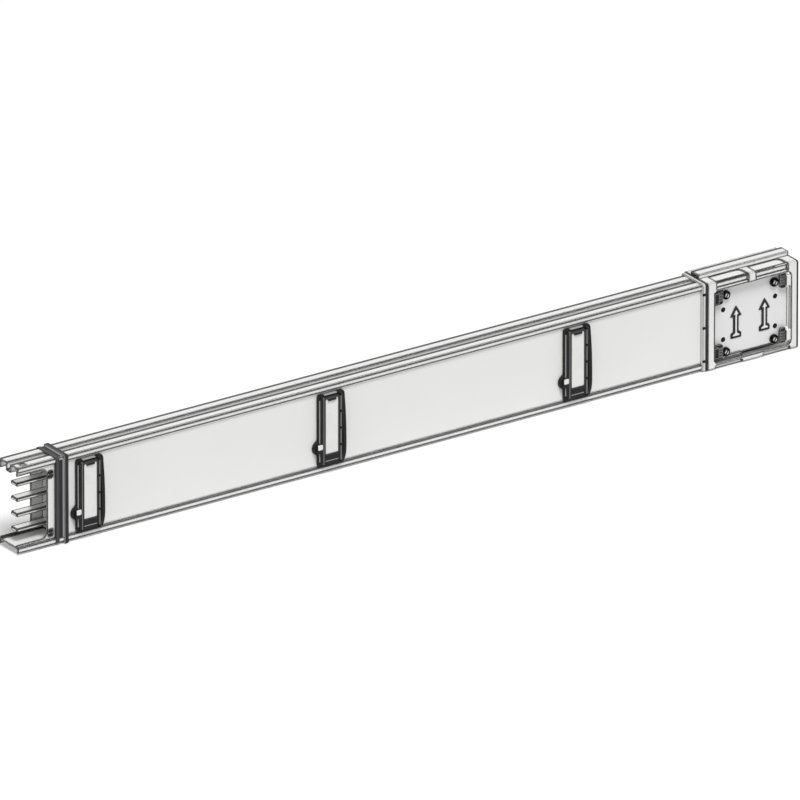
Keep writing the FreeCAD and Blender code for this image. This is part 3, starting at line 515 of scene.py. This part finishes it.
class MetalLook(bpy.types.PropertyGroup):
    """Bars, contacts and fastenings."""

    bar: colour_property("Bars", "Colour of the tinned bars", 0.80, 0.80, 0.79)
    contact: colour_property("Contacts", "Colour of the tinned jaws", 0.78, 0.76, 0.72)
    zinc: colour_property("Zinc", "Colour of the bolts' heads", 0.82, 0.82, 0.81)
    blackened: colour_property(
        "Blackened steel", "Colour of the washers, rivets and hinge pins", 0.030, 0.030, 0.032
    )
    edge: length_property("Edge radius", "Rounding of metal edges", 0.3 * MM)
    # Painted shade on metal: dark edges and folds, and on each bar a dark foot, a dark stretch at its
    # back and a dark line along its sides
    dark_edge_reach: length_property("Dull edge", "Width of the dull edges", 2.3 * MM)
    shade_foot: length_property("Dull foot", "Dark foot of a bar's sides", 2.2 * MM)
    shade_back: length_property("Dull back", "Dark stretch at a bar's back", 4.4 * MM)
    side_line: length_property("Die line", "Dark line along a bar's sides", 1.1 * MM)
    side_line_drop: length_property("Die line's drop", "Its place below a bar's top", 1.4 * MM)
    dull: share_property("Dullness", "Darkness of the dull edges", 0.93)
    squareness: share_property("Squareness", "Squareness below which a fold is dull", 0.9)
    line: length_property("Line size", "Spacing of the draw lines", 0.9 * MM)
    line_height: length_property("Line height", "Depth of the draw lines", 0.02 * MM)


class FasteningSizes(bpy.types.PropertyGroup):
    """Tie bolts, arrows, lugs and keepers."""

    flats: length_property("Head flats", "Bolt head across flats", 8.4 * MM)
    head: length_property("Head height", "Height of a bolt's head", 4.6 * MM)
    chamfer: length_property("Head chamfer", "Turned-off corners of heads", 0.9 * MM)
    slot: length_property("Slot width", "Screwdriver slot in a bolt's head", 1.5 * MM)
    nut: length_property("Nut flats", "Nut across flats", 8 * MM)
    nut_height: length_property("Nut height", "Height of a nut", 3.6 * MM)
    washer: length_property("Washer thickness", "Floor of the cup washer", 1.6 * MM)
    cup: length_property("Cup height", "Height of the cup washer's rim", 5 * MM)
    cup_wall: length_property("Cup wall", "Wall of the cup washer", 1.3 * MM)
    shank: length_property("Shank radius", "Radius of a bolt's shank", 2.5 * MM)
    pitch: length_property("Thread pitch", "Spacing of the thread's ridges", 0.8 * MM)
    border_in: length_property("Border inside", "Arrow's border on its face", 2.5 * MM)
    border_out: length_property("Border outside", "Arrow's border round it", 1.4 * MM)
    film: length_property("Film", "Thickness of the arrow's border", 0.12 * MM)
    lug_width: length_property("Lug width", "Snap lug along the section", 8 * MM)
    lug_height: length_property("Lug height", "Snap lug's height", 10.6 * MM)
    lug_waist: length_property("Lug waist", "Height of the lug's waist", 2.6 * MM)
    lug_proud: length_property("Lug rise", "Lug's cap over the panel", 0.5 * MM)
    lug_lead: length_property("Lug lead", "Middle of a lug from the end of its comb", 4.8 * MM)
    lug_low: length_property("Low lugs", "Lower lugs above the casing", 19.6 * MM)
    lug_high: length_property("High lugs", "Upper lugs above the casing", 120.2 * MM)
    keeper_length: length_property("Keeper length", "Keeper in the raised way", 10.1 * MM)
    keeper_depth: length_property("Keeper depth", "Keeper across the way", 3.6 * MM)
    keeper_height: length_property("Keeper height", "Keeper's height", 1.5 * MM)
    keeper_left: length_property("Left keeper", "Left keeper from the joint's middle", -62.6 * MM)
    keeper_right: length_property("Right keeper", "Right keeper from the joint's middle", 66 * MM)
    way_back: length_property("Way's back", "Back edge of the raised way", 17 * MM)


class StageSizes(bpy.types.PropertyGroup):
    """Camera, floor and lamps."""

    azimuth: angle_property("Azimuth", "Camera's place round the object", -34.26)
    elevation: angle_property("Elevation", "Camera's height over the horizon", 23.16)
    target: FloatVectorProperty(
        name="Target", description="Point at the middle of the frame", subtype="TRANSLATION",
        unit="LENGTH", default=(0.1 * MM, 1.1 * MM, 77.9 * MM),
    )
    span: length_property("Span", "Width of the frame at the target", 1.274)
    lens: FloatProperty(
        name="Lens", description="Focal length, long enough for a parallel look", default=1500.0
    )
    floor_radius: length_property("Floor radius", "Radius of the floor", 9.0)
    floor_colour: colour_property("Floor", "Colour of the pale floor", 0.86, 0.86, 0.86)
    floor_glow: FloatProperty(
        name="Floor glow", description="What brings the lit floor to white", default=0.20
    )
    sky: FloatProperty(name="Sky", description="Level of the even light from all round", default=0.33)
    key: FloatProperty(name="Key", description="Strength of the soft high lamp", default=2.25)
    key_spread: angle_property("Key spread", "Softness of the key lamp", 24)


class BUSWAY_OT_casing(bpy.types.Operator):
    """Lacquer the rails and the panels"""

    bl_idname = "busway.casing"
    bl_label = "Casing"

    def execute(self, context):
        look = context.scene.busway_sheet
        finish = (look.casing, look, look.sheet_folds, look.edge, look.crease_shade_depth)
        paint(lacquer("casing lacquer", *finish), "bottom_rail", "back_panel")
        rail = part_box("top_rail")[1]
        top = ("Z", rail.z - look.fold, rail.z + look.fold)
        # painted shade: a near-black line on the top before the back edge of each ridge
        ridge_shade = [
            (look.steel, ("Y", back - look.ridge, back - look.fold), top)
            for back in (-look.groove, rail.y)
        ]
        paint(lacquer("top rail lacquer", *finish, ridge_shade), "top_rail")
        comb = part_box("left_bar_comb")
        x = comb[0].x - look.notch_lead
        low, high = comb[0].z + look.notch_round, comb[1].z - look.notch_round
        # painted shade: a near-black line along the edge of the panel's notch
        notch = (look.steel, ("X", x, x + look.notch), ("Z", low, high))
        paint(lacquer("front panel lacquer", *finish, (notch,)), "front_panel")
        return {"FINISHED"}


class BUSWAY_OT_collars(bpy.types.Operator):
    """Finish the two collars"""

    bl_idname = "busway.collars"
    bl_label = "Collars"

    def execute(self, context):
        look = context.scene.busway_moulding
        low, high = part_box("left_collar")
        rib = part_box("right_collar")
        rib_width = rib[1].x - rib[0].x
        low_rib = [low.x + rib_width * share for share in LOW_RIB]
        band_end = high.x - rib_width * BAND_END
        zones = (
            (look.collar_low, ("X", *low_rib)),
            (look.collar_band, ("X", band_end - look.band_width, band_end)),
        )
        # painted highlights: the left collar's edges are painted paler
        left = moulding("left collar moulding", look.collar, look, 0.5, rubbed=3.0, zones=zones)
        paint(left, "left_collar")
        # a black sealing lip at the collar's end, painted also as the shade in the gap by the joint
        # cover
        zones = [(look.collar, ("X", rib[1].x - look.lip, rib[1].x + look.lip))]
        across = ("X", rib[0].x, rib[0].x + look.mark)
        casing = (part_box("bottom_rail")[0].z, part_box("top_rail")[1].z)
        for z in (casing[0] + look.mark_margin, sum(casing) / 2, casing[1] - look.mark_margin):
            zones.append((look.collar, across, ("Z", z - look.mark / 2, z + look.mark / 2)))
        # painted shade: the right collar's edges are painted darker
        right = moulding(
            "right collar moulding", look.end_collar, look, 0.5, mottle=0.05, rubbed=0.1, zones=zones
        )
        paint(right, "right_collar")
        return {"FINISHED"}


class BUSWAY_OT_conductors(bpy.types.Operator):
    """Finish the bars and the contact jaws"""

    bl_idname = "busway.conductors"
    bl_label = "Conductors"

    def execute(self, context):
        look = context.scene.busway_metal
        along = (0.02, 1.0, 1.0)
        dark_share = 0.05
        dark = tone(look.bar, dark_share)
        for bar in named("busbar_"):
            low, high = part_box(bar)
            # painted shade on each bar: a dark foot, a dark stretch at its back and a dark line along
            # its sides
            foot = (dark, ("Z", low.z - look.shade_foot, low.z + look.shade_foot))
            back = (dark, ("Y", high.y - look.shade_back, high.y - look.edge))
            side = (dark, ("Z", high.z - look.side_line_drop - look.side_line, high.z - look.side_line_drop))
            tinned = drawn_metal(f"tinned {bar}", look.bar, look, 0.34, along, (foot, back, side))
            paint(tinned, bar)
        paint(drawn_metal("tinned contact", look.contact, look, 0.42, along), "contact_jaw_")
        return {"FINISHED"}


class BUSWAY_OT_insulators(bpy.types.Operator):
    """Finish the combs, the sockets and the joint's core"""

    bl_idname = "busway.insulators"
    bl_label = "Insulators"

    def execute(self, context):
        look = context.scene.busway_moulding
        # painted shade: the insulators' edges are painted darker
        pale = moulding(
            "glass-filled insulator", look.insulator, look, 0.62, grain=1.6, mottle=0.06, rubbed=0.1
        )
        paint(pale, "left_bar_comb", "right_bar_comb", "mid_bar_comb_", "outlet_socket_", "joint_core")
        return {"FINISHED"}


class BUSWAY_OT_outlets(bpy.types.Operator):
    """Finish the outlets' frames, gaskets, doors, inlays, buttons and pins"""

    bl_idname = "busway.outlets"
    bl_label = "Outlets"

    def execute(self, context):
        look = context.scene.busway_moulding
        metal = context.scene.busway_metal
        frame_highlights = []
        door_highlights = []
        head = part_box("outlet_frame_1")[1].z
        for door, pin, inlay in zip(named("outlet_door_"), named("hinge_pin_"), named("door_inlay_")):
            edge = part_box(door)[0].x + look.tab_reach
            axis = (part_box(pin)[0].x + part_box(pin)[1].x) / 2
            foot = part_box(door)[0].z + look.foot_line
            window = ("X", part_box(inlay)[0].x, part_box(inlay)[1].x)
            height = ("Z", foot, head - look.foot_line * 1.5)
            # painted highlights on each door and its frame
            door_highlights += (
                (look.rubbed, self.stripe("X", edge, DOOR_EDGE, look.stripe)),
                (look.rubbed, self.stripe("X", axis, HINGE_SIDE, look.stripe)),
                (look.lit_edge, window, self.stripe("Z", foot, DOOR_FOOT, look.stripe)),
            )
            frame_highlights += (
                (look.lit_edge, window, self.stripe("Z", head, FRAME_HEAD, look.stripe)),
                (look.lit_edge, self.stripe("X", edge, FRAME_EDGE, look.stripe), height),
            )
        # the frames, doors and gaskets also take the moulding's painted highlights on their edges
        frames = moulding("outlet frame moulding", look.frame, look, 0.48, zones=frame_highlights)
        paint(frames, "outlet_frame_")
        doors = moulding("outlet door moulding", look.door, look, 0.42, zones=door_highlights)
        paint(doors, "outlet_door_")
        paint(moulding("sponge rubber", look.gasket, look, 0.85, grain=2.0), "outlet_gasket_")
        white = moulding("white inlay", look.inlay, look, 0.28, grain=0.6, mottle=0.015, rubbed=1.05)
        paint(white, "door_inlay_", "catch_button_")
        paint(drawn_metal("blackened pin", metal.blackened, metal, 0.4, (1.0, 1.0, 0.1)), "hinge_pin_")
        return {"FINISHED"}

    def stripe(self, axis, place, ends, width):
        """A stretch along an axis, with its ends in stripe widths from a place."""
        return (axis, place + width * ends[0], place + width * ends[1])


class BUSWAY_OT_joint_block(bpy.types.Operator):
    """Lacquer the joint's cover and housing"""

    bl_idname = "busway.joint_block"
    bl_label = "Joint block"

    def execute(self, context):
        look = context.scene.busway_sheet
        finish = (look.casing, look, look.joint_folds, look.joint_edge, look.joint_crease_shade)
        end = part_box("joint_cover")[1].x
        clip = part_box("corner_clip_lower_left")[0]
        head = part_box("corner_clip_upper_left")[1]
        inset = look.outline / 10
        # painted shade: near-black lines at the cover's end and beside the left clips
        outlines = (
            (look.steel, ("X", end - look.outline, end - inset)),
            (look.steel, ("X", clip.x - look.notch, clip.x), ("Z", clip.z, head.z)),
        )
        paint(lacquer("cover lacquer", *finish, outlines), "joint_cover")
        back = context.scene.busway_fastening.way_back
        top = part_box("joint_housing")[1].z
        level = ("Z", top - look.fold, top + look.fold)
        # painted shade: a near-black line before the back edge of the raised way
        way = (look.steel, ("Y", back - look.ridge, back - look.fold), level)
        paint(lacquer("housing lacquer", *finish, (way,)), "joint_housing")
        return {"FINISHED"}


class BUSWAY_OT_clamping_plates(bpy.types.Operator):
    """Coat the clamping plates and border their arrows"""

    bl_idname = "busway.clamping_plates"
    bl_label = "Clamping plates"

    def execute(self, context):
        look = context.scene.busway_sheet
        sizes = context.scene.busway_fastening
        moulded = context.scene.busway_moulding
        finish = (look.plate, look, look.sheet_folds, look.joint_edge, look.joint_crease_shade)
        paint(lacquer("plate coat", *finish), "front_clamping_plate", "back_clamping_plate")
        ink = moulding("black border", moulded.clip, moulded, 0.6)
        outlines, y_face, y_plate = self.arrow_outlines()
        for n, outline in enumerate(outlines, 1):
            steps = (
                (-sizes.border_in, y_face),
                (-sizes.border_in, y_face - sizes.film),
                (sizes.film, y_face - sizes.film),
                (sizes.film * 2, y_plate - sizes.film),
                (sizes.border_out, y_plate - sizes.film),
                (sizes.border_out, y_plate),
            )
            work = bmesh.new()
            rings = []
            for distance, y in steps:
                rings.append([(p.x, y, p.y) for p in offset_outline(outline, distance)])
            bridge_rings(work, rings, capped=False)
            add_piece(f"arrow_border_{n}", work, ink)
        return {"FINISHED"}

    def arrow_outlines(self):
        """The outlines of the arrows raised on the front plate, from left to right."""
        plate = frame["nodes"]["front_clamping_plate"]
        y_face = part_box("front_clamping_plate")[0].y
        work = bmesh.new()
        work.from_mesh(plate.data)
        level = 0.01 * MM
        others = [f for f in work.faces if any(abs(v.co.y - y_face) > level for v in f.verts)]
        y_plate = min(v.co.y for f in others for v in f.verts if v.co.y > y_face + level)
        bmesh.ops.delete(work, geom=others, context="FACES")
        bmesh.ops.remove_doubles(work, verts=work.verts, dist=level)
        bmesh.ops.dissolve_limit(work, angle_limit=math.radians(1), verts=work.verts, edges=work.edges)
        outlines = [[Vector((v.co.x, v.co.z)) for v in f.verts] for f in work.faces]
        work.free()
        if len(outlines) != 2:
            raise RuntimeError(f"found {len(outlines)} arrows on the front plate, not 2")
        return sorted(outlines, key=lambda points: points[0].x), y_face, y_plate


class BUSWAY_OT_fastenings(bpy.types.Operator):
    """Make the tie bolts, rivets, lug caps and keepers, and finish the clips"""

    bl_idname = "busway.fastenings"
    bl_label = "Fastenings"

    def execute(self, context):
        sheet = context.scene.busway_sheet
        metal = context.scene.busway_metal
        moulded = context.scene.busway_moulding
        sizes = context.scene.busway_fastening
        even = (1.0, 1.0, 1.0)
        bright = drawn_metal("bright zinc", metal.zinc, metal, 0.32, even)
        black = drawn_metal("blackened steel", metal.blackened, metal, 0.45, even)
        finish = (moulded.clip, moulded, 0.45)
        # painted highlights: the clips' edges and ribs are painted pale
        rubbed = 45.0
        clip = moulding("clip moulding", *finish, rubbed=rubbed)
        paint(clip, "corner_clip_")
        for name in ("corner_clip_lower_right", "corner_clip_upper_right"):
            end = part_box(name)[1].x
            hook = ((sheet.casing, ("X", end - moulded.hook, end + moulded.hook)),)
            paint(moulding("hooked clip", *finish, rubbed=rubbed, zones=hook), name)
        for node in named("tie_bolt_"):
            self.tie_bolt(node, sizes, bright, black)
        for node in named("plate_rivet_"):
            self.rivet(node, black)
        self.lug_caps(sizes, moulded)
        self.keepers(sizes, clip)
        return {"FINISHED"}

    def lug_caps(self, sizes, moulded):
        """Waisted caps on the snap lugs that hold the end combs in the panels."""
        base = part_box("bottom_rail")[0].z
        heights = (base + sizes.lug_low, base + sizes.lug_high)
        half_waist = sizes.lug_waist / 2
        zones = [(moulded.collar_low, ("Z", z - half_waist, z + half_waist)) for z in heights]
        finish = moulding("lug moulding", moulded.clip, moulded, 0.5, rubbed=1.0, zones=zones)
        wide = sizes.lug_width / 2
        slim = wide * 0.8
        tall = sizes.lug_height / 2
        upper = ((slim, half_waist), (wide, half_waist), (wide, tall))
        half = tuple((x, -z) for x, z in reversed(upper)) + upper
        shape = half + tuple((-x, z) for x, z in reversed(half))
        ends = (("left_bar_comb", 0, sizes.lug_lead), ("right_bar_comb", 1, -sizes.lug_lead))
        for comb, end, lead in ends:
            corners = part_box(comb)
            x = corners[end].x + lead
            for row, z in zip(("lower", "upper"), heights):
                outline = [Vector((x + dx, z + dz)) for dx, dz in shape]
                for face, corner, outwards in (("front", corners[0], -1), ("back", corners[1], 1)):
                    work = bmesh.new()
                    y_face = corner.y + outwards * sizes.lug_proud
                    relief(work, outline, corner.y, y_face, sizes.lug_proud / 2)
                    add_piece(f"{comb}_{row}_{face}_cap", work, finish)

    def keepers(self, sizes, finish):
        """Two small keepers in the slots of the housing's raised way."""
        low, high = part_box("joint_cover")
        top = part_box("joint_housing")[1].z
        half = sizes.keeper_length / 2
        chamfer = sizes.keeper_height / 3
        floor = top - sizes.keeper_height
        front = sizes.way_back - sizes.keeper_depth
        for n, offset in enumerate((sizes.keeper_left, sizes.keeper_right), 1):
            x = (low.x + high.x) / 2 + offset
            shape = [(x - half, floor), (x + half, floor), (x + half, top), (x - half, top)]
            work = bmesh.new()
            relief(work, [Vector(corner) for corner in shape], front, sizes.way_back, chamfer)
            add_piece(f"way_keeper_{n}", work, finish)

    def tie_bolt(self, node, sizes, bright, black):
        """A slotted hexagon bolt in a cup washer, with a threaded end and a nut."""
        low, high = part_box(node)
        x, z = (low.x + high.x) / 2, (low.z + high.z) / 2
        washer_radius = (high.x - low.x) / 2
        y_washer = low.y + sizes.head
        y_plate = y_washer + sizes.washer
        y_nut = high.y - sizes.nut_height
        rim = sizes.cup_wall / 3
        y_rim = y_plate - sizes.cup
        inside = washer_radius - sizes.cup_wall
        work = bmesh.new()
        turned(work, x, z, (
            (sizes.shank, y_plate), (washer_radius - rim, y_plate), (washer_radius, y_plate - rim),
            (washer_radius, y_rim + rim), (washer_radius - rim, y_rim), (inside + rim, y_rim),
            (inside, y_rim + rim), (inside, y_washer), (sizes.shank, y_washer),
        ))
        washer = add_piece(node + "_washer", work, black)
        work = bmesh.new()
        hexagon(work, x, z, sizes.flats, low.y, y_washer, sizes.chamfer)
        bolt = add_piece(node + "_head", work, bright)
        self.cut_slot(bolt, x, z, low.y, sizes)
        work = bmesh.new()
        neck = sizes.shank * 0.9
        root = sizes.shank * 0.88
        ridges_before_nut = 8
        y = y_nut - ridges_before_nut * sizes.pitch
        profile = [(neck, y_washer), (neck, y)]
        while y + sizes.pitch < high.y:
            profile += [(root, y), (sizes.shank, y + sizes.pitch / 2)]
            y += sizes.pitch
        turned(work, x, z, profile, segments=24)
        shank = add_piece(node + "_shank", work, bright, sharp=60)
        work = bmesh.new()
        hexagon(work, x, z, sizes.nut, y_nut, high.y, sizes.chamfer)
        nut = add_piece(node + "_nut", work, bright)
        for piece in (washer, bolt, shank, nut):
            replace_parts(piece, node)

    def cut_slot(self, bolt, x, z, y_face, sizes):
        """Cuts a screwdriver slot across a bolt's head, leaning as in the drawing."""
        work = bmesh.new()
        bmesh.ops.create_cube(work, size=1.0)
        depth = sizes.head / 2
        lean = math.radians(30)
        bmesh.ops.scale(work, vec=(sizes.slot, depth * 2, sizes.flats * 2), verts=work.verts)
        cutter = bpy.data.objects.new("slot_cutter", bpy.data.meshes.new("slot_cutter"))
        work.to_mesh(cutter.data)
        work.free()
        bpy.context.scene.collection.objects.link(cutter)
        cutter.location = (x, y_face, z)
        cutter.rotation_euler = (0.0, lean, 0.0)
        cut = bolt.modifiers.new("slot", "BOOLEAN")
        cut.operation = "DIFFERENCE"
        cut.object = cutter
        bpy.context.view_layer.update()
        ready = bolt.evaluated_get(bpy.context.evaluated_depsgraph_get())
        mesh = bpy.data.meshes.new_from_object(ready)
        bolt.modifiers.clear()
        bolt.data = mesh
        bpy.data.objects.remove(cutter)

    def rivet(self, node, black):
        """A domed rivet with a small dimple, and its set tail."""
        low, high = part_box(node)
        x, z = (low.x + high.x) / 2, (low.z + high.z) / 2
        radius = (high.x - low.x) / 2
        rise = 1.4 * MM
        roundness = 2.6
        steps = 8
        shank, tail, tail_end = (radius * share for share in (0.47, 0.70, 0.58))
        y_tail = high.y - 2 * MM
        y_turned = high.y - 0.4 * MM
        profile = [(radius * 0.12, low.y + 0.35 * MM), (radius * 0.22, low.y + 0.02 * MM)]
        for n in range(2, steps + 1):
            share = n / steps
            profile.append((radius * share, low.y + rise * share ** roundness))
        profile += [(shank, low.y + rise), (shank, y_tail)]
        profile += [(tail, y_tail), (tail, y_turned), (tail_end, high.y)]
        work = bmesh.new()
        turned(work, x, z, profile, segments=40)
        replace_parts(add_piece(node + "_domed", work, black), node)


class BUSWAY_OT_stage(bpy.types.Operator):
    """Set the floor, the lamps, the background and the camera"""

    bl_idname = "busway.stage"
    bl_label = "Stage"

    def execute(self, context):
        sizes = context.scene.busway_stage
        self.floor(sizes)
        self.sky(sizes)
        self.key_lamp(sizes)
        self.camera(sizes)
        context.scene.view_settings.view_transform = "Standard"
        return {"FINISHED"}

    def floor(self, sizes):
        """A wide pale disc that renders white where nothing shades it."""
        finish = Finish("pale floor")
        seen = finish.node("ShaderNodeLightPath", output="Is Camera Ray")
        inputs = {"Color": (1.0, 1.0, 1.0), "Strength": seen * sizes.floor_glow}
        glow = finish.node("ShaderNodeEmission", None, inputs)
        matt = finish.node("ShaderNodeBsdfDiffuse", None, {"Color": sizes.floor_colour})
        both = finish.node("ShaderNodeAddShader", None, {0: glow, 1: matt})
        finish.node("ShaderNodeOutputMaterial", None, {"Surface": both})
        work = bmesh.new()
        bmesh.ops.create_circle(work, cap_ends=True, segments=128, radius=sizes.floor_radius)
        mesh = bpy.data.meshes.new("floor")
        work.to_mesh(mesh)
        work.free()
        mesh.materials.append(finish.material)
        disc = bpy.data.objects.new("floor", mesh)
        bpy.context.scene.collection.objects.link(disc)

    def sky(self, sizes):
        """An even world: white to the eye and in reflections, gentler as a light."""
        world = bpy.data.worlds.new("even sky")
        world.use_nodes = True
        tree = world.node_tree
        tree.nodes.clear()
        path = tree.nodes.new("ShaderNodeLightPath")
        seen = Value(tree, path.outputs["Is Camera Ray"])
        mirrored = Value(tree, path.outputs["Is Glossy Ray"])
        through = Value(tree, path.outputs["Is Transmission Ray"])
        shown = (seen + mirrored + through) > 0.5
        back = tree.nodes.new("ShaderNodeBackground")
        (shown * (1 - sizes.sky) + sizes.sky).put(back.inputs["Strength"])
        Value(tree, back.outputs[0]).put(tree.nodes.new("ShaderNodeOutputWorld").inputs["Surface"])
        back.inputs["Color"].default_value = (1.0, 1.0, 1.0, 1.0)
        bpy.context.scene.world = world

    def key_lamp(self, sizes):
        """One soft high lamp that lights the top most, then the front."""
        lamp = bpy.data.lights.new("key", "SUN")
        lamp.energy = sizes.key
        lamp.angle = sizes.key_spread
        holder = bpy.data.objects.new("key", lamp)
        towards = Vector((0.13, 0.44, -0.89))
        holder.rotation_mode = "QUATERNION"
        holder.rotation_quaternion = towards.to_track_quat("-Z", "Y")
        bpy.context.scene.collection.objects.link(holder)

    def camera(self, sizes):
        """The drawing's own view, from so far off that it is almost parallel."""
        data = bpy.data.cameras.new("drawing view")
        data.sensor_width = 36.0
        data.lens = sizes.lens
        distance = sizes.span * sizes.lens / data.sensor_width
        data.clip_start = distance / 20
        data.clip_end = distance * 2
        level = math.cos(sizes.elevation)
        back = Vector((
            math.sin(sizes.azimuth) * level,
            -math.cos(sizes.azimuth) * level,
            math.sin(sizes.elevation),
        ))
        camera = bpy.data.objects.new("camera", data)
        camera.location = Vector(sizes.target) + back * distance
        camera.rotation_mode = "QUATERNION"
        camera.rotation_quaternion = (-back).to_track_quat("-Z", "Y")
        bpy.context.scene.collection.objects.link(camera)
        bpy.context.scene.camera = camera


STEPS = (
    BUSWAY_OT_casing,
    BUSWAY_OT_collars,
    BUSWAY_OT_conductors,
    BUSWAY_OT_insulators,
    BUSWAY_OT_outlets,
    BUSWAY_OT_joint_block,
    BUSWAY_OT_clamping_plates,
    BUSWAY_OT_fastenings,
    BUSWAY_OT_stage,
)
GROUPS = {
    "busway_sheet": SheetLook,
    "busway_moulding": MouldingLook,
    "busway_metal": MetalLook,
    "busway_fastening": FasteningSizes,
    "busway_stage": StageSizes,
}


class VIEW3D_PT_busway(bpy.types.Panel):
    """Lists the busway section's sizes, colours and steps"""

    bl_idname = "VIEW3D_PT_busway"
    bl_label = "Busway"
    bl_space_type = "VIEW_3D"
    bl_region_type = "UI"
    bl_category = "Busway"

    def draw(self, context):
        for step in STEPS:
            self.layout.operator(step.bl_idname)
        for name, group in GROUPS.items():
            box = self.layout.box()
            box.label(text=group.__doc__)
            for key in group.__annotations__:
                box.prop(getattr(context.scene, name), key)


def register():
    for name, group in GROUPS.items():
        bpy.utils.register_class(group)
        setattr(bpy.types.Scene, name, PointerProperty(type=group))
    for step in STEPS:
        bpy.utils.register_class(step)
    bpy.utils.register_class(VIEW3D_PT_busway)


def unregister():
    bpy.utils.unregister_class(VIEW3D_PT_busway)
    for step in reversed(STEPS):
        bpy.utils.unregister_class(step)
    for name, group in reversed(GROUPS.items()):
        delattr(bpy.types.Scene, name)
        bpy.utils.unregister_class(group)


def main():
    register()
    for step in STEPS:
        area, name = step.bl_idname.split(".")
        getattr(getattr(bpy.ops, area), name)()


if __name__ == "__main__":
    main()
